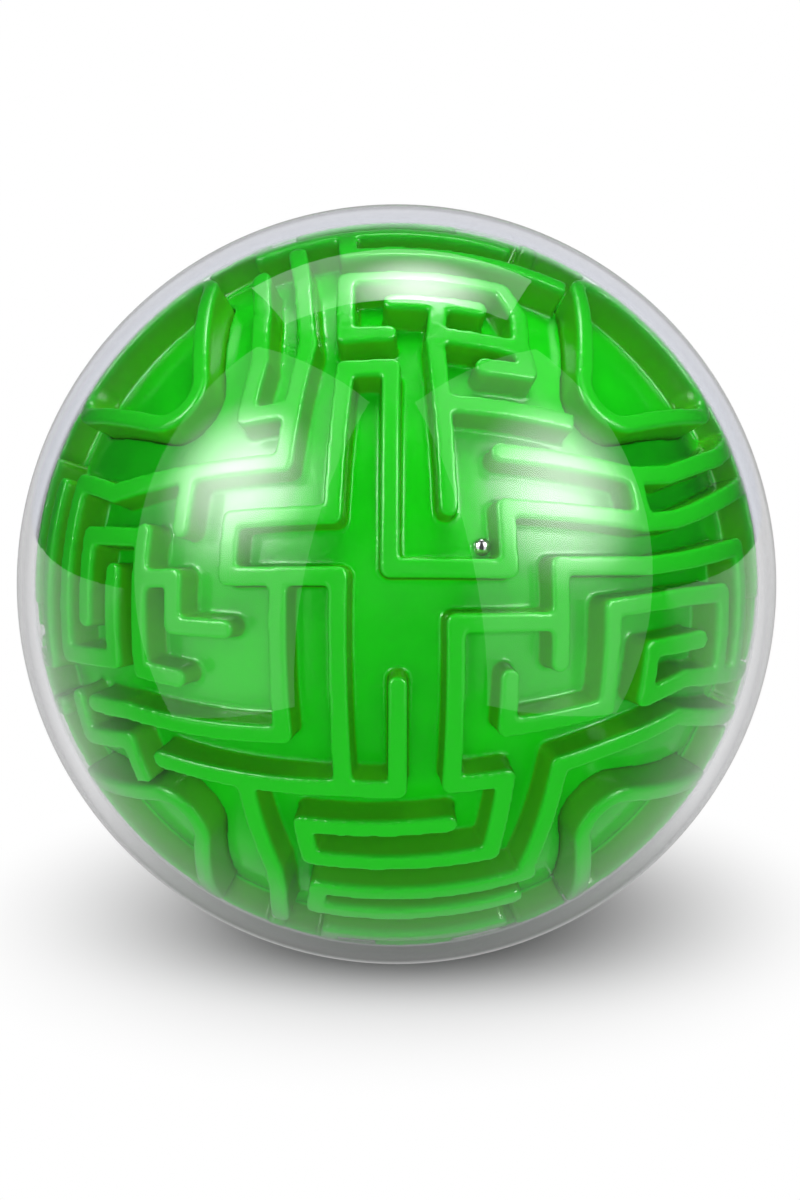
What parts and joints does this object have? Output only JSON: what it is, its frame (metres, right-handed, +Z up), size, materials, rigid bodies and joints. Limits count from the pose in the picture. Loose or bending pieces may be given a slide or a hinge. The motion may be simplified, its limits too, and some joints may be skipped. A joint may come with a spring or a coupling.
{
  "type": "3d maze ball puzzle",
  "caption": "Clear spherical shell around a green globe covered in raised maze walls, with a loose steel ball that rolls in the corridors between them.",
  "frame": {"origin": "centre of the sphere", "axes": "+Z up, -Y towards the front of the maze as it is shown, +X to the viewer's right"},
  "size_m": [0.09, 0.09, 0.09],
  "materials": {
    "clear_shell": "clear polished rigid plastic",
    "green_maze": "glossy injection-moulded plastic",
    "steel": "polished steel"
  },
  "bodies": {
    "maze_globe": {"shell_front": "clear_shell", "shell_rear": "clear_shell", "maze_panel_front": "green_maze", "maze_panel_right": "green_maze", "maze_panel_back": "green_maze", "maze_panel_left": "green_maze", "maze_panel_top": "green_maze", "maze_panel_bottom": "green_maze", "corner_pocket_front_bottom_left": "green_maze", "corner_pocket_front_bottom_right": "green_maze", "corner_pocket_front_top_left": "green_maze", "corner_pocket_front_top_right": "green_maze", "corner_pocket_back_bottom_left": "green_maze", "corner_pocket_back_bottom_right": "green_maze", "corner_pocket_back_top_left": "green_maze", "corner_pocket_back_top_right": "green_maze"},
    "loose_ball": {"steel_ball": "steel"}
  },
  "joints": [
    {"name": "steel_ball_travel", "type": "hinge", "parent": "maze_globe", "child": "loose_ball", "pos_m": [0, 0, 0], "axis": [-0.9686, -0.2487, 0], "range_deg": [0, 18]}
  ]
}
